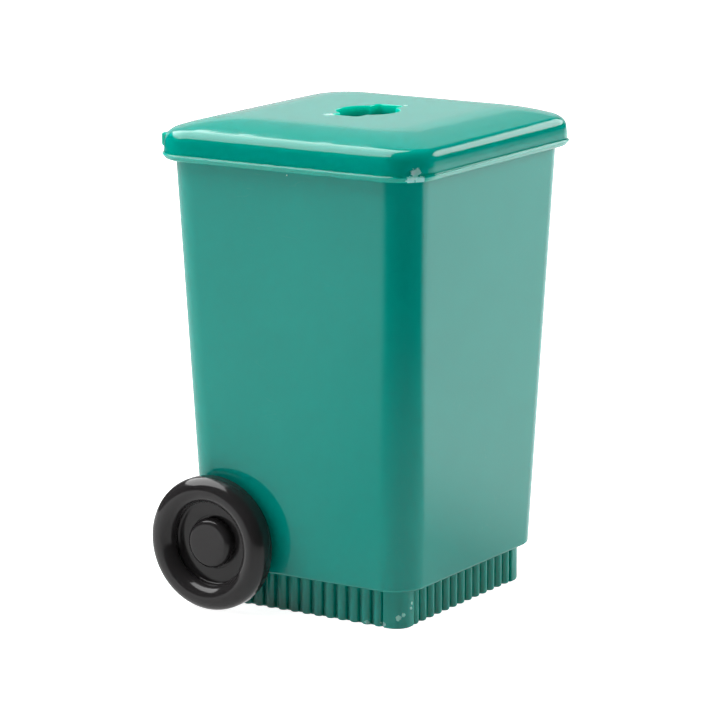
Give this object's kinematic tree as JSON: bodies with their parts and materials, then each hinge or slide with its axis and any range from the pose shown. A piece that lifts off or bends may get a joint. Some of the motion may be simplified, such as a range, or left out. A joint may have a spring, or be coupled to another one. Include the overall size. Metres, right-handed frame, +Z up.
{
  "type": "pencil sharpener",
  "caption": "Pencil sharpener shaped like a two-wheeled refuse bin, with a push-on lid over a wedge sharpener, a hollow bin for shavings and a ribbed pull-off base.",
  "frame": {"origin": "middle of the flat underside of the ribbed base, on the surface it stands on", "axes": "+Z up along the pencil's line, +Y to the back where the wheels are, X across the bin along the axle"},
  "size_m": [0.0434, 0.0427, 0.065],
  "materials": {
    "green_plastic": "glossy moulded green plastic",
    "black_plastic": "glossy moulded black plastic",
    "block_metal": "satin, finely milled",
    "blade_steel": "ground and polished",
    "screw_steel": "zinc plated",
    "axle_steel": "drawn rod"
  },
  "bodies": {
    "bin": {"bin_body": "green_plastic", "axle": "axle_steel", "hub_cap_left": "black_plastic", "hub_cap_right": "black_plastic"},
    "lid": {"lid": "green_plastic", "sharpener_block": "block_metal", "blade": "blade_steel", "blade_screw": "screw_steel"},
    "base": {"base_plug": "green_plastic"},
    "left_wheel": {"wheel_left": "black_plastic"},
    "right_wheel": {"wheel_right": "black_plastic"}
  },
  "joints": [
    {"name": "bin_lift", "type": "slide", "parent": "base", "child": "bin", "axis": [0, 0, 1], "range_m": [0, 0.012]},
    {"name": "lid_lift", "type": "slide", "parent": "bin", "child": "lid", "axis": [0, 0, 1], "range_m": [0, 0.03]},
    {"name": "left_wheel_spin", "type": "hinge", "parent": "bin", "child": "left_wheel", "pos_m": [-0.01979, 0.0119, 0.009], "axis": [1, 0, 0], "continuous": true},
    {"name": "right_wheel_spin", "type": "hinge", "parent": "bin", "child": "right_wheel", "pos_m": [0.01979, 0.0119, 0.009], "axis": [1, 0, 0], "continuous": true}
  ]
}
